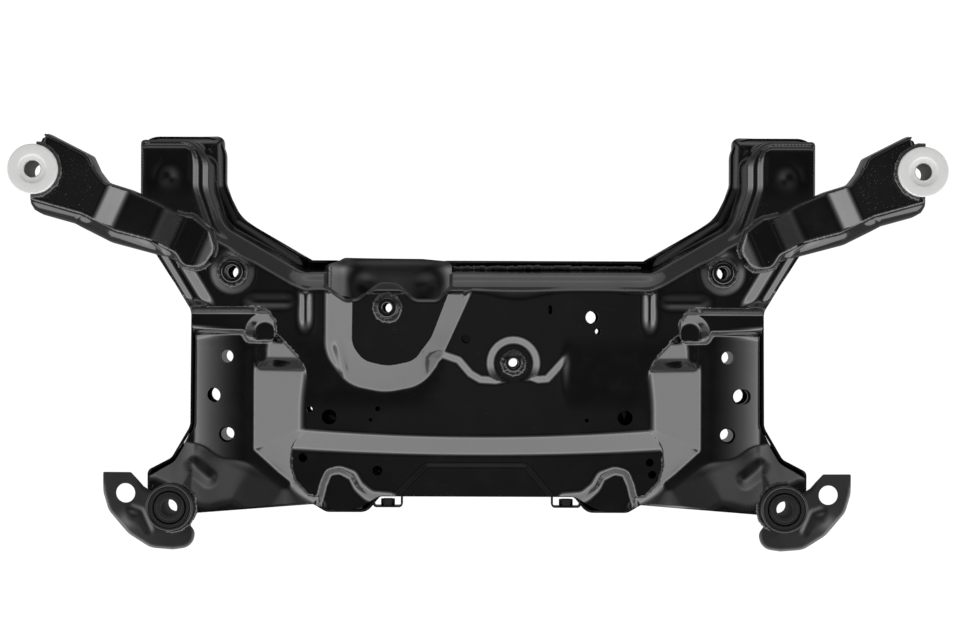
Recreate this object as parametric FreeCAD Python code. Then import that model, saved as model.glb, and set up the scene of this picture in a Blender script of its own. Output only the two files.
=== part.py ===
# Front subframe of a small front-wheel-drive car: two drawn sheet shells welded into a box,
# with tubular body mounts on two front arms and at the two rear corners.
# Millimetres. X runs across the car, +Y points to the front bumper, +Z is up.
# The origin lies under the middle of the whole part, level with the undersides of the side tubs.
import FreeCAD, Part
import math
import os
from FreeCAD import Vector

os.makedirs("parts", exist_ok=True)

# Sheets and clearances
sheet = 2.5
arm_sheet = 2.5
weld_gap = 0.2

# Heights above the undersides of the side tubs
plate_height = 105.0
rear_plate_drop = 5.0
shelf_height = 86.0
leg_height = 98.0
shoulder_height = 83.0
valley_height = 60.0
floor_height = 40.0
rim_height = 56.0
wall_foot_height = 45.0

# Plan of the box
rail_x = 306.3
leg_outer_x = 357.5
leg_inner_x = 276.0
leg_front_y = 213.0
leg_lip = 12
front_edge_y = 80.0
rear_edge_y = -164.0
plate_rear_y = -95.0
shelf_front_y = -118.0
front_slope_run = 24.0
side_slope_x = 184.0

# Side valleys for the lower control arms
valley_inner_x = 241.0
valley_front_y = 8.0
valley_rear_y = -112.0
tub_inner_x = 228.0
tub_front_y = 22.0
tub_rear_y = -122.0
tub_draft = 34.0
tub_seam_x = tub_inner_x - tub_draft - 8
past_walls = 400.0
window_sill = 8.5

# Recesses and raised pad of the rear shelf
dimple_x = 141.0
dimple_y = -154.0
dimple_radius = 27.0
dimple_depth = 15.0
shelf_pad_height = 1.6

# Body mounts
front_mount_x = 460.5
front_mount_y = 178.7
front_mount_top = 165.0
front_mount_height = 60.0
front_tube_radius = 25.5
front_flange_radius = 25.8
front_flange_height = 7.0
front_sleeve_radius = 14.0
rear_mount_x = 326.5
rear_mount_y = -176.0
rear_mount_top = 102.0
rear_mount_height = 60.0
rear_tube_radius = 25.0
rear_sleeve_radius = 14.0
tube_wall = 2.5
mount_bolt_bore = 17.0

# Mount arms, which rise from the legs to the front mounts
arm_root_x = 299.0
arm_root_y = 106.0
arm_width = 56.0
arm_tip_height = front_mount_top - 9.0
arm_root_height = leg_height + 20.0
arm_middle_height = (arm_root_height + arm_tip_height) / 2
arm_upper_depth = 24.0
arm_lower_depth = 46.0

# Rear corner brackets, lying on the lower shell's rim
ear_thickness = 3.0
ear_height = rim_height + weld_gap
ear_rim_depth = 12.0
ear_hole_x = 379.5
ear_hole_y = -164.0
ear_hole_radius = 10.5

# Welded bosses
rack_boss_x = 259.4
rack_boss_y = 74.2
rack_boss_radius = 12.8
rack_boss_height = 8.0
restrictor_boss_x = -94.9
restrictor_boss_y = 36.7
centre_boss_x = 38.2
centre_boss_y = -21.6
small_boss_radius = 14.5
boss_bore = 10.0
centre_dish_radius = 28.0
centre_dish_depth = 6.0

# Restrictor dome and the mouth below it
dome_height = 123.0
mouth_left_x = -160.0
mouth_right_x = -30.0
mouth_edge_y = 46.0

# Bolt holes of the lower arm's rear joint, through both skins of each valley
bush_bolt_x = 285.0
bush_bolt_y = -58.0
bush_bolt_bore = 16.0
spacer_x = 270.0
front_spacer_y = -16.0
rear_spacer_y = -100.0
spacer_radius = 9.5
spacer_bore = 14.0
pivot_ring_radius = 15.0
pivot_ring_height = 6.0

# Rear clips
clip_x = 95.6
clip_width = 32.0
clip_reach = 14.0
clip_strip = 2.0
clip_bottom = 60.0
clip_height = 14.0
clip_nut_across = 13.0
clip_nut_height = 7.0


def wire(corners, z):
    """Closed outline at height z; each corner is x, y, radius."""
    count = len(corners)
    spans = []
    for i in range(count):
        x, y, radius = corners[i]
        before = Vector(*corners[i - 1][:2], z)
        after = Vector(*corners[(i + 1) % count][:2], z)
        here = Vector(x, y, z)
        back = (before - here).normalize()
        ahead = (after - here).normalize()
        if radius <= 0 or (back + ahead).Length < 1e-3:
            spans.append((here, None, here))
            continue
        half = back.getAngle(ahead) / 2
        cut = radius / math.tan(half)
        middle = here + (back + ahead).normalize() * (radius / math.sin(half) - radius)
        spans.append((here + back * cut, middle, here + ahead * cut))
    edges = []
    for i in range(count):
        start, middle, end = spans[i]
        if middle:
            edges.append(Part.Arc(start, middle, end).toShape())
        edges.append(Part.makeLine(end, spans[(i + 1) % count][0]))
    return Part.Wire(edges)


def inset(corners, distances):
    """Moves each edge of a counter-clockwise outline inwards; edge i starts at corner i."""
    count = len(corners)
    if not isinstance(distances, (list, tuple)):
        distances = [distances] * count
    lines = []
    for i in range(count):
        x0, y0 = corners[i][:2]
        x1, y1 = corners[(i + 1) % count][:2]
        length = math.hypot(x1 - x0, y1 - y0)
        along = ((x1 - x0) / length, (y1 - y0) / length)
        shifted = (x0 - along[1] * distances[i], y0 + along[0] * distances[i])
        lines.append((shifted, along))
    moved = []
    for i in range(count):
        (ax, ay), (ux, uy) = lines[i - 1]
        (bx, by), (vx, vy) = lines[i]
        turn = ux * vy - uy * vx
        reach = ((bx - ax) * vy - (by - ay) * vx) / turn
        nearer = min(distances[i - 1], distances[i])
        radius = corners[i][2] - nearer * (1 if turn > 0 else -1)
        moved.append((ax + ux * reach, ay + uy * reach, max(radius, 0.6)))
    return moved


def prism(corners, z0, z1):
    return Part.Face(wire(corners, z0)).extrude(Vector(0, 0, z1 - z0))


def drafted(low, z0, high, z1):
    """Solid with ruled sides between two outlines of equally many corners."""
    return Part.makeLoft([wire(low, z0), wire(high, z1)], True, True)


def side_profile(corners, half_length):
    """Outline in Y and Z, extruded both ways along X."""
    flat = Part.Face(wire(corners, 0))
    flat.rotate(Vector(0, 0, 0), Vector(1, 0, 0), 90)
    flat.rotate(Vector(0, 0, 0), Vector(0, 0, 1), 90)
    flat.translate(Vector(-half_length, 0, 0))
    return flat.extrude(Vector(2 * half_length, 0, 0))


def front_profile(corners, y0, y1):
    """Outline in X and Z, extruded along Y."""
    flat = Part.Face(wire(corners, 0))
    flat.rotate(Vector(0, 0, 0), Vector(1, 0, 0), 90)
    flat.translate(Vector(0, y1, 0))
    return flat.extrude(Vector(0, y0 - y1, 0))


def rod(x, y, radius, z0, z1):
    return Part.makeCylinder(radius, z1 - z0, Vector(x, y, z0))


def cone(x, y, low_radius, high_radius, z0, z1):
    return Part.makeCone(low_radius, high_radius, z1 - z0, Vector(x, y, z0))


def mirrored(shape):
    return shape.mirror(Vector(0, 0, 0), Vector(1, 0, 0))


def both_sides(shape):
    return [shape, mirrored(shape)]


def flip(corners):
    """Outline on the other side, still counter-clockwise."""
    return [(-x, y, r) for x, y, r in reversed(corners)]


# Right half of the box outline, from the rear middle to the front middle.
# Each row: x, y, corner radius, then for the edge that starts here how far it stands in from the
# outline at the plate, how far in at the shoulder, how far out at the foot, and the lower shell's lip.
fit_lip = sheet + weld_gap + 0.3
half_outline = [
    (106, rear_edge_y, 8, 3, 1, 0.3, fit_lip),
    (120, rear_edge_y - 17, 12, 3, 1, 0.3, fit_lip),
    (162, rear_edge_y - 17, 10, 3, 1, 0.3, fit_lip),
    (176, rear_edge_y - 8.5, 6, 3, 1, 0.3, fit_lip),
    (rear_mount_x - 23.5, rear_edge_y - 18.5, 1, 1.5, 1, 0.3, fit_lip),
    (rear_mount_x, rear_mount_y, 1, 1.5, 1, 0.3, fit_lip),
    (rear_mount_x + 26.5, rear_mount_y + 18, 1, 1.5, 1, 0.3, fit_lip),
    (rear_mount_x + 26.5, rear_mount_y + 35, 4, 1.5, 1, 0.3, fit_lip),
    (rail_x + 21.7, -128, 14, 2, 1, 0.3, fit_lip),
    (rail_x + 0.7, -92, 20, 2, 1, 0.3, fit_lip),
    (rail_x, 34, 18, 3, 1, 0.3, fit_lip),
    (leg_outer_x, 118, 20, 4, 1, 0.3, fit_lip),
    (leg_outer_x, leg_front_y, 5, 3, 1, 0.3, leg_lip),
    (leg_inner_x + 16, leg_front_y, 8, 18, 8, 1, 11),
    (leg_inner_x, leg_front_y - 17, 14, 30, 12, 1, 3.5),
    (leg_inner_x, leg_front_y - 48, 20, 28, 12, 2, 5),
    (leg_inner_x - 13, front_edge_y + 48, 18, 26, 11, 4, 7.5),
    (180, front_edge_y, 12, front_slope_run, 5, 4, 8),
]


def box_outline(column, sign):
    """The whole outline with each edge moved by one column of half_outline."""
    right = [row[:3] for row in half_outline]
    moves = [sign * row[column] for row in half_outline]
    corners = right + flip(right)
    distances = moves + moves[-2::-1] + [moves[0]]
    return inset(corners, distances)


def plate_surface(drop):
    """Everything under the top faces, seen from the side: plate, slope, shelf and legs."""
    top = plate_height - drop
    rear = top - rear_plate_drop
    shelf = shelf_height - drop
    return side_profile([
        (-260, 0, 0), (260, 0, 0), (260, leg_height - drop, 0), (leg_front_y - 50, leg_height - drop, 60),
        (front_edge_y + 20, top, 60), (centre_boss_y + 4, top, 40), (centre_boss_y - 24, rear, 40),
        (plate_rear_y, rear, 8 - drop), (shelf_front_y, shelf, 8 + drop), (-260, shelf, 0)], 600)


def valley_pocket(grow, drop):
    """The low side valley, open outwards, as a drafted cut."""
    outer = rail_x + 80
    low = [(outer, valley_front_y, 1), (valley_inner_x, valley_front_y, 22),
           (valley_inner_x, -108, 20), (208, -150, 4), (222, -150, 4), (250, valley_rear_y - 17, 12),
           (276, valley_rear_y - 15, 10), (297, valley_rear_y, 12), (outer, valley_rear_y, 1)]
    high = [(outer, valley_front_y + 28, 1), (side_slope_x, valley_front_y + 28, 40),
            (side_slope_x, -96, 14), (160, -168, 8), (224, -180, 12), (256, -193, 12),
            (279, -189, 10), (292, -173, 12), (outer, -150, 1)]
    return drafted(inset(low, -grow), valley_height - drop, inset(high, -grow), plate_height - drop)


def restrictor_dome(grow, drop):
    """Raised face round the mouth, whose front edge the mouth's cut takes away."""
    front = front_edge_y - 10
    low = [(9, front - 8, 2), (mouth_right_x, front, 2), (mouth_left_x + 3, front, 2),
           (-163, front - 8, 2), (-163, -10, 24), (-142, -46, 22), (-100, -53, 24),
           (-56, -44, 24), (-38, -14, 12)]
    high = [(-20, front - 10, 2), (mouth_right_x - 4, front - 4, 2), (-127, front - 4, 1),
            (-131, front - 10, 2), (-132, 0, 14), (-122, -17, 14), (-94, -24, 24),
            (-62, -16, 14), (-49, 3, 12)]
    return drafted(inset(low, grow), plate_height - 8 - drop, inset(high, grow), dome_height - drop)


def centre_step(grow, drop):
    """Front part of the plate round the centre boss, which stays high up to an S-shaped step."""
    edge = [(-42, -2, 2), (-40, -16, 4), (-22, -22, 8), (-10, -36, 8), (2, -43, 6), (20, -44, 6),
            (38, -40, 6), (56, -40, 6), (64, -43, 4), (76, -42, 8), (95, -21, 10), (112, -14, 6),
            (114, -2, 2)]
    rear = plate_height - rear_plate_drop - drop
    return drafted(inset(edge, grow - 5), rear - 1, inset(edge, grow), plate_height - drop)


def shelf_pad(grow, drop):
    pad = [(-88, rear_edge_y + 3, 2), (78, rear_edge_y + 3, 2), (52, rear_edge_y + 33, 6),
           (-54, rear_edge_y + 33, 6)]
    return prism(inset(pad, grow), shelf_height - 8 - drop, shelf_height + shelf_pad_height - drop)


def shelf_dimple(grow, drop):
    floor = shelf_height - dimple_depth - drop
    return cone(dimple_x, dimple_y, dimple_radius - 11 + grow, dimple_radius + grow,
                floor, shelf_height + 0.5)


def centre_dish(grow, drop):
    floor = plate_height - centre_dish_depth - drop
    return cone(centre_boss_x, centre_boss_y, centre_dish_radius - 7 + grow,
                centre_dish_radius + grow, floor, plate_height + 0.5 - drop)


def leg_dimple(grow, drop):
    return cone(320, 168, 6 + grow, 15 + grow, leg_height - 4 - drop, leg_height + 4 - drop)


def pressing(grow, drop, wall_inset, bottom):
    """The upper pressing filled solid; drop and wall_inset give its inner skin."""
    foot = inset(box_outline(5, -1), wall_inset)
    shoulder = inset(box_outline(4, 1), wall_inset)
    crown = inset(box_outline(3, 1), wall_inset)
    body = drafted(foot, bottom, shoulder, shoulder_height - drop)
    body = body.fuse(drafted(shoulder, shoulder_height - drop, crown, plate_height - drop))
    body = body.common(plate_surface(drop))
    body = body.fuse([restrictor_dome(wall_inset / 2, drop), centre_step(grow, drop),
                      shelf_pad(grow, drop)])
    pocket = valley_pocket(grow, drop)
    cuts = both_sides(pocket) + both_sides(shelf_dimple(grow, drop)) + both_sides(leg_dimple(grow, drop))
    return body.cut(cuts + [centre_dish(grow, drop)])


def mouth_cut():
    """The wavy front edge over the restrictor mouth, and the throat under its middle."""
    left = mouth_left_x
    right = mouth_right_x
    low = mouth_edge_y
    corners = [(left, 130, 0), (left, low + 14, 3), (left + 22, low - 1, 12), (left + 34, low + 1, 12),
               (left + 56, low + 18, 14), (left + 75, low + 17, 14), (left + 94, low, 14),
               (right - 12, low, 10), (right, low + 14, 3), (right, 130, 0)]
    edge = prism(corners, wall_foot_height - 5, dome_height + 10)
    throat = prism([(left + 40, low + 9, 0), (right - 45, low + 9, 0), (right - 45, 130, 0),
                    (left + 40, 130, 0)], wall_foot_height - 5, plate_height - 9)
    return [edge, throat]


def upper_holes():
    """Holes in the upper skin alone: x, y, radius."""
    holes = [(-157, -79.4, 8), (157, -79.4, 8), (-12.2, 3.9, 4.8), (-105.7, -70.5, 2.6),
             (-113.1, -82.2, 1.8), (116.3, -82.2, 2.1), (-185.9, -123.4, 4.8),
             (-106.3, -137.3, 5.3), (184.3, -127.7, 4.3), (187, -140.5, 4.3)]
    tools = [rod(x, y, radius, shoulder_height - 30, dome_height) for x, y, radius in holes]
    slot = prism([(74.8, 30.4, 2), (79, 30.4, 2), (79, 39.8, 2), (74.8, 39.8, 2)],
                 shoulder_height, dome_height)
    return tools + [slot]


def through_holes():
    """Holes in line through both skins, with the bolt bores of the bosses and valleys."""
    holes = [(121.4, 27.2, 6.9), (127.7, 12.3, 3.2), (-177.9, -71.6, 3.2),
             (restrictor_boss_x, restrictor_boss_y, boss_bore / 2),
             (centre_boss_x, centre_boss_y, boss_bore / 2)]
    for side in (-1, 1):
        holes.append((side * rack_boss_x, rack_boss_y, boss_bore / 2 + 1.5))
        holes.append((side * bush_bolt_x, bush_bolt_y, bush_bolt_bore / 2))
        holes.append((side * spacer_x, front_spacer_y, spacer_bore / 2))
        holes.append((side * spacer_x, rear_spacer_y, spacer_bore / 2))
    tools = [rod(x, y, radius, -5, dome_height + 10) for x, y, radius in holes]
    slotted = bush_bolt_bore / 2
    tools.append(prism([(bush_bolt_x - slotted - 2.5, bush_bolt_y - slotted, slotted - 0.5),
                        (bush_bolt_x + slotted + 2.5, bush_bolt_y - slotted, slotted - 0.5),
                        (bush_bolt_x + slotted + 2.5, bush_bolt_y + slotted, slotted - 0.5),
                        (bush_bolt_x - slotted - 2.5, bush_bolt_y + slotted, slotted - 0.5)],
                       valley_height - 10, valley_height + 10))
    return tools


def tube_holes():
    cut = rod(rear_mount_x, rear_mount_y, rear_tube_radius + weld_gap, -5, dome_height)
    return both_sides(cut)


def upper_shell():
    skin = pressing(0, 0, 0, wall_foot_height)
    hollow = pressing(sheet * 0.4, sheet, sheet, wall_foot_height - 1)
    shell = skin.cut(hollow)
    return shell.cut(mouth_cut() + upper_holes() + through_holes() + tube_holes())


def tub(grow, z0, z1):
    """One deep side tub of the lower shell, drafted, open to the rail's outer side."""
    outer = rail_x + 60
    low = [(tub_inner_x, tub_rear_y, 18), (outer, tub_rear_y, 1), (outer, tub_front_y, 1),
           (tub_inner_x, tub_front_y, 18)]
    high = [(tub_inner_x - tub_draft, tub_rear_y - 14, 26), (outer, tub_rear_y - 14, 1),
            (outer, tub_front_y + 14, 1), (tub_inner_x - tub_draft, tub_front_y + 14, 26)]
    return drafted(inset(low, grow), z0, inset(high, grow), z1)


def lower_body(grow, bottom_lift, top):
    outline = inset(box_outline(6, -1), grow)
    plate = prism(outline, floor_height + bottom_lift, top)
    trim = prism(outline, bottom_lift, top)
    tubs = [shape.common(trim) for shape in both_sides(tub(grow * 0.6, bottom_lift, floor_height + bottom_lift))]
    return plate.fuse(tubs)


def lower_pressing():
    shell = lower_body(0, 0, rim_height).cut(lower_body(sheet, sheet, rim_height + 5))
    window = prism([(rail_x - 10, tub_rear_y + 10, 0), (rail_x + 20, tub_rear_y + 10, 0),
                    (rail_x + 20, tub_front_y - 10, 0), (rail_x - 10, tub_front_y - 10, 0)],
                   window_sill, wall_foot_height)
    lip = prism([(mouth_left_x + 8, front_edge_y - 20, 0), (mouth_right_x - 4, front_edge_y - 20, 0),
                 (mouth_right_x - 4, front_edge_y + 30, 0), (mouth_left_x + 8, front_edge_y + 30, 0)],
                floor_height + sheet + 4, rim_height + 5)
    drains = [rod(side * x, y, 7, -5, rim_height) for side in (-1, 1) for x, y in [(60, 45), (120, -110)]]
    return shell.cut(both_sides(window) + [lip] + drains + through_holes() + tube_holes())


def side_zone():
    """Everything on the right, outside the seam between the middle pan and a side tub."""
    corner = Vector(tub_seam_x, -past_walls, -past_walls)
    return Part.makeBox(past_walls, 2 * past_walls, 2 * past_walls, corner)


def arm_plan():
    """Right mount arm from above, counter-clockwise from its tip's rear corner.

    Each row: share of the way from the root to the mount, share of the width to the front, radius.
    """
    rows = [(0.955, -0.556, 3), (1.021, 0.387, 2), (1.027, 0.692, 1), (0.749, 0.648, 4),
            (0.677, 0.447, 8), (0.602, 0.317, 10), (0.468, 0.372, 14), (0.296, 0.382, 14),
            (0.167, 0.349, 8), (0.063, 0.44, 8), (-0.047, 0.322, 12), (-0.132, 0.031, 12),
            (-0.114, -0.406, 12), (0.01, -0.542, 8), (0.078, -0.366, 8), (0.242, -0.345, 14),
            (0.438, -0.447, 16), (0.642, -0.405, 16)]
    root = Vector(arm_root_x, arm_root_y, 0)
    way = Vector(front_mount_x, front_mount_y, 0) - root
    side = Vector(-way.y, way.x, 0).normalize() * arm_width
    plan = []
    for share, across, radius in rows:
        point = root + way * share + side * across
        plan.append((point.x, point.y, radius))
    return plan


def arm_band(top_drop, bottom_drop):
    """Side view of the arm between two depths under its top face."""
    tops = [(1.245, arm_tip_height), (0.613, arm_tip_height - 2), (0.464, arm_middle_height + 1),
            (0.235, arm_middle_height - 2), (0.093, arm_root_height), (-0.056, arm_root_height - 1),
            (-0.18, arm_root_height - 12)]
    reach = front_mount_x - arm_root_x
    upper = [(arm_root_x + share * reach, z - top_drop, 0) for share, z in tops]
    lower = [(arm_root_x + share * reach, z - bottom_drop, 0) for share, z in reversed(tops)]
    return front_profile(upper + lower, arm_root_y - 2 * arm_width, front_mount_y + 2 * arm_width)


def arm_clear_of(shape, body):
    tube = rod(front_mount_x, front_mount_y, front_tube_radius + weld_gap, 0, 200)
    return shape.cut([body, tube])


def mount_arm_upper(body):
    plan = arm_plan()
    outer = prism(plan, 60, 200).common(arm_band(0, arm_upper_depth))
    hollow = prism(inset(plan, arm_sheet), 50, 200).common(arm_band(arm_sheet, arm_upper_depth + 5))
    return arm_clear_of(outer.cut(hollow), body)


def mount_arm_lower(body):
    fit = arm_sheet + weld_gap
    plan = inset(arm_plan(), -fit)
    outer = prism(plan, 40, 200).common(arm_band(arm_upper_depth - 12, arm_lower_depth))
    hollow = prism(inset(plan, arm_sheet), 40, 200)
    hollow = hollow.common(arm_band(0, arm_lower_depth - arm_sheet))
    return arm_clear_of(outer.cut(hollow), body)


def front_mount_tube():
    top = front_mount_top - front_flange_height - weld_gap
    bottom = front_mount_top - front_mount_height
    tube = rod(front_mount_x, front_mount_y, front_tube_radius, bottom, top)
    return tube.cut(rod(front_mount_x, front_mount_y, front_tube_radius - tube_wall, bottom, top))


def front_mount_bush():
    top = front_mount_top
    bottom = front_mount_top - front_mount_height
    neck = front_mount_top - front_flange_height
    bush = rod(front_mount_x, front_mount_y, front_tube_radius - tube_wall - 0.1, bottom, neck)
    bush = bush.fuse(rod(front_mount_x, front_mount_y, front_flange_radius, neck, top))
    bush = bush.removeSplitter()
    rim = [edge for edge in bush.Edges if abs(edge.BoundBox.ZMin - top) < 0.01]
    bush = bush.makeFillet(1.5, rim)
    return bush.cut(rod(front_mount_x, front_mount_y, front_sleeve_radius + 0.05, bottom, top))


def sleeve(x, y, radius, z0, z1):
    body = rod(x, y, radius, z0, z1).cut(rod(x, y, mount_bolt_bore / 2, z0, z1))
    rims = [edge for edge in body.Edges
            if edge.Closed and abs(edge.Curve.Radius - radius) < 0.01]
    return body.makeChamfer(0.8, rims)


def front_mount_sleeve():
    bottom = front_mount_top - front_mount_height
    return sleeve(front_mount_x, front_mount_y, front_sleeve_radius, bottom, front_mount_top - 1)


def rear_mount_tube():
    bottom = rear_mount_top - rear_mount_height
    tube = rod(rear_mount_x, rear_mount_y, rear_tube_radius, bottom, rear_mount_top)
    tube = tube.cut(rod(rear_mount_x, rear_mount_y, rear_tube_radius - tube_wall, bottom, rear_mount_top))
    rims = [edge for edge in tube.Edges if abs(edge.BoundBox.ZMin - edge.BoundBox.ZMax) < 0.01]
    return tube.makeFillet(0.8, rims)


def rear_mount_rubber():
    """Rubber ring, dished between its outer and inner bond."""
    bottom = rear_mount_top - rear_mount_height
    outer = rear_tube_radius - tube_wall - 0.1
    inner = rear_sleeve_radius + 0.05
    middle = (outer + inner) / 2
    top = rear_mount_top - 2
    section = [(inner, bottom + 3), (middle, bottom + 9), (outer, bottom + 3), (outer, top),
               (middle, top - 7), (inner, top)]
    points = [Vector(rear_mount_x + r, rear_mount_y, z) for r, z in section]
    ring = Part.Face(Part.makePolygon(points + points[:1]))
    return ring.revolve(Vector(rear_mount_x, rear_mount_y, 0), Vector(0, 0, 1), 360)


def rear_mount_sleeve():
    bottom = rear_mount_top - rear_mount_height
    return sleeve(rear_mount_x, rear_mount_y, rear_sleeve_radius, bottom, rear_mount_top - 1)


def rear_bracket():
    """Ear plate with a turned-down rim, welded round the rear mount tube under the box's corner."""
    rear = -(leg_front_y + leg_lip)
    plan = [(303.5, -205, 8), (306, rear + 2, 9), (328, rear, 10), (350, rear + 1, 18),
            (376, -208, 24), (398, -182, 20), (404, -163, 22), (404, -141.6, 1), (374, -141.6, 3),
            (366, -150, 5), (360, -157, 4), (rear_mount_x, rear_mount_y, 1)]
    plate = prism(plan, ear_height - ear_rim_depth, ear_height + ear_thickness)
    inner = inset(plan, ear_thickness)
    plate = plate.cut(prism(inner, ear_height - ear_rim_depth - 1, ear_height))
    front = prism([(280, -192, 0), (430, -192, 0), (430, -120, 0), (280, -120, 0)], 0, ear_height)
    hole = rod(ear_hole_x, ear_hole_y, ear_hole_radius, 0, 200)
    tube = rod(rear_mount_x, rear_mount_y, rear_tube_radius + weld_gap, 0, 200)
    return plate.cut([front, hole, tube])


def collar(x, y, radius, bore, z0, z1):
    body = rod(x, y, radius, z0, z1)
    rim = [edge for edge in body.Edges if abs(edge.BoundBox.ZMin - z1) < 0.01 and edge.Closed]
    return body.makeFillet(2, rim).cut(rod(x, y, bore / 2, z0, z1))


def rack_boss(body):
    raw = collar(rack_boss_x, rack_boss_y, rack_boss_radius, boss_bore + 3,
                 shoulder_height, plate_height + rack_boss_height)
    return raw.cut(body)


def valley_spacer(y):
    """Tube between the two skins of a side valley."""
    top = valley_height - sheet - weld_gap
    bottom = sheet + weld_gap
    tube = rod(spacer_x, y, spacer_radius, bottom, top)
    return tube.cut(rod(spacer_x, y, spacer_bore / 2, bottom, top))


def pivot_ring():
    """Ring under the valley skin that the lower arm's bush bolt clamps against."""
    top = valley_height - sheet - weld_gap
    ring = rod(bush_bolt_x, bush_bolt_y, pivot_ring_radius, top - pivot_ring_height, top)
    return ring.cut(rod(bush_bolt_x, bush_bolt_y, bush_bolt_bore / 2, top - pivot_ring_height, top))


def rear_clip(body):
    """Bent strip that stands off the rear wall and carries a weld nut."""
    wall = rear_edge_y + 1 - weld_gap
    rear = wall - clip_reach
    left = clip_x - clip_width / 2
    right = clip_x + clip_width / 2
    outer = [(left, rear, 4), (right, rear, 4), (right, wall, 0), (left, wall, 0)]
    inner = [(left + clip_strip, rear + clip_strip, 2), (right - clip_strip, rear + clip_strip, 2),
             (right - clip_strip, wall + 1, 0), (left + clip_strip, wall + 1, 0)]
    strip = prism(outer, clip_bottom, clip_bottom + clip_height)
    bore = Part.makeCylinder(4, 10, Vector(clip_x, rear - 3, clip_bottom + clip_height / 2), Vector(0, 1, 0))
    return strip.cut([prism(inner, clip_bottom - 1, clip_bottom + clip_height + 1), bore, body])


def rear_clip_nut():
    rear = rear_edge_y + 1 - weld_gap - clip_reach + clip_strip
    radius = clip_nut_across / 2 / math.cos(math.radians(30))
    middle = clip_bottom + clip_height / 2
    points = []
    for i in range(7):
        angle = math.radians(60 * i + 30)
        points.append(Vector(clip_x + radius * math.sin(angle), rear, middle + radius * math.cos(angle)))
    nut = Part.Face(Part.makePolygon(points)).extrude(Vector(0, clip_nut_height, 0))
    return nut.cut(Part.makeCylinder(4, 20, Vector(clip_x, rear - 5, middle), Vector(0, 1, 0)))


def save(name, shape):
    shape = shape.removeSplitter()
    solids = shape.Solids
    if len(solids) == 1:
        shape = solids[0]
    print(name, len(solids), shape.isValid(), round(shape.Volume))
    shape.exportStep("parts/" + name + ".step")


def save_pair(name, shape):
    save(name + "_right", shape)
    save(name + "_left", mirrored(shape))


body = pressing(-weld_gap, -weld_gap, -weld_gap, wall_foot_height)
save("upper_shell", upper_shell())
whole_pan = lower_pressing()
save("lower_shell", whole_pan.cut(both_sides(side_zone())))
save("side_tub_right", whole_pan.common(side_zone()))
save("side_tub_left", whole_pan.common(mirrored(side_zone())))
save_pair("mount_arm_upper", mount_arm_upper(body))
save_pair("mount_arm_lower", mount_arm_lower(body))
save_pair("front_mount_tube", front_mount_tube())
save_pair("front_mount_bush", front_mount_bush())
save_pair("front_mount_sleeve", front_mount_sleeve())
save_pair("rear_mount_tube", rear_mount_tube())
save_pair("rear_mount_rubber", rear_mount_rubber())
save_pair("rear_mount_sleeve", rear_mount_sleeve())
save_pair("rear_bracket", rear_bracket())
save_pair("rack_boss", rack_boss(body))
save("restrictor_boss", collar(restrictor_boss_x, restrictor_boss_y, small_boss_radius, boss_bore,
                               dome_height, dome_height + 6))
save("centre_boss", collar(centre_boss_x, centre_boss_y, small_boss_radius, boss_bore,
                           plate_height - centre_dish_depth, plate_height + 2))
save_pair("front_spacer", valley_spacer(front_spacer_y))
save_pair("rear_spacer", valley_spacer(rear_spacer_y))
save_pair("pivot_ring", pivot_ring())
save_pair("rear_clip", rear_clip(body))
save_pair("rear_clip_nut", rear_clip_nut())
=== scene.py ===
import bpy
import bmesh
import math
import random
import numpy as np
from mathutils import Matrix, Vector
from mathutils.geometry import delaunay_2d_cdt


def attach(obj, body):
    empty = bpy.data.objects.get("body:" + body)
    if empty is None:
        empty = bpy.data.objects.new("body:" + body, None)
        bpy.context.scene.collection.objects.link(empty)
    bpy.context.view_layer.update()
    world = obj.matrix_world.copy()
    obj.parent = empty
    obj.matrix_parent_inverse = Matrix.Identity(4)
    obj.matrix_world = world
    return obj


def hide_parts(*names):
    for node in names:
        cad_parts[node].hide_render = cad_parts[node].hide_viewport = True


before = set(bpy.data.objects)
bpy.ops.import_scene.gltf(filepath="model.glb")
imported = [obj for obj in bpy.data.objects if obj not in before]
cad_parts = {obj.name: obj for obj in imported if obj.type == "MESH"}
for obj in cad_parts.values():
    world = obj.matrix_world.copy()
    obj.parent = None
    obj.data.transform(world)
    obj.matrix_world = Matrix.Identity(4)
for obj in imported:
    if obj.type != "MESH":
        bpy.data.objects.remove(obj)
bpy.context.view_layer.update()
mm = 0.001
random.seed(7)
bpy.ops.object.select_all(action="DESELECT")

# Sizes are in millimetres, as on a workshop drawing, and turned into metres when a mesh is made
sheet = {"thickness": 2.5, "grid": 1.85, "fineGrid": 1.35}
frontMount = {"x": 460.5, "y": 178.7, "top": 165, "height": 60, "tubeRadius": 25.5,
              "tubeBore": 23, "flangeRadius": 25.8, "sleeveRadius": 14, "bore": 8.5}
rearMount = {"x": 326.5, "y": -176, "top": 102, "height": 60, "tubeRadius": 25,
             "tubeBore": 22.5, "sleeveRadius": 14, "bore": 8.5}
bosses = {"rackX": 259.4, "rackY": 74.2, "rackBore": 6.5, "restrictorX": -94.9, "restrictorY": 36.7,
          "centreX": 38.2, "centreY": -21.6, "bore": 5}


# Outlines are lists of corners: x, y, radius
def cornerSides(corners, i):
    here = Vector(corners[i][:2])
    back = (Vector(corners[i - 1][:2]) - here).normalized()
    ahead = (Vector(corners[(i + 1) % len(corners)][:2]) - here).normalized()
    return here, back, ahead, back.angle(ahead) / 2


def cornerArc(here, back, ahead, half, radius):
    cut = radius / math.tan(half)
    centre = here + (back + ahead).normalized() * (radius / math.sin(half))
    start, stop = here + back * cut - centre, here + ahead * cut - centre
    return centre, start, stop, start.angle_signed(stop)


def arcOffsets(start, sweep, steps):
    turns = [-sweep * k / steps for k in range(steps + 1)]
    return [(start.x * math.cos(a) - start.y * math.sin(a),
             start.x * math.sin(a) + start.y * math.cos(a)) for a in turns]


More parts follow.
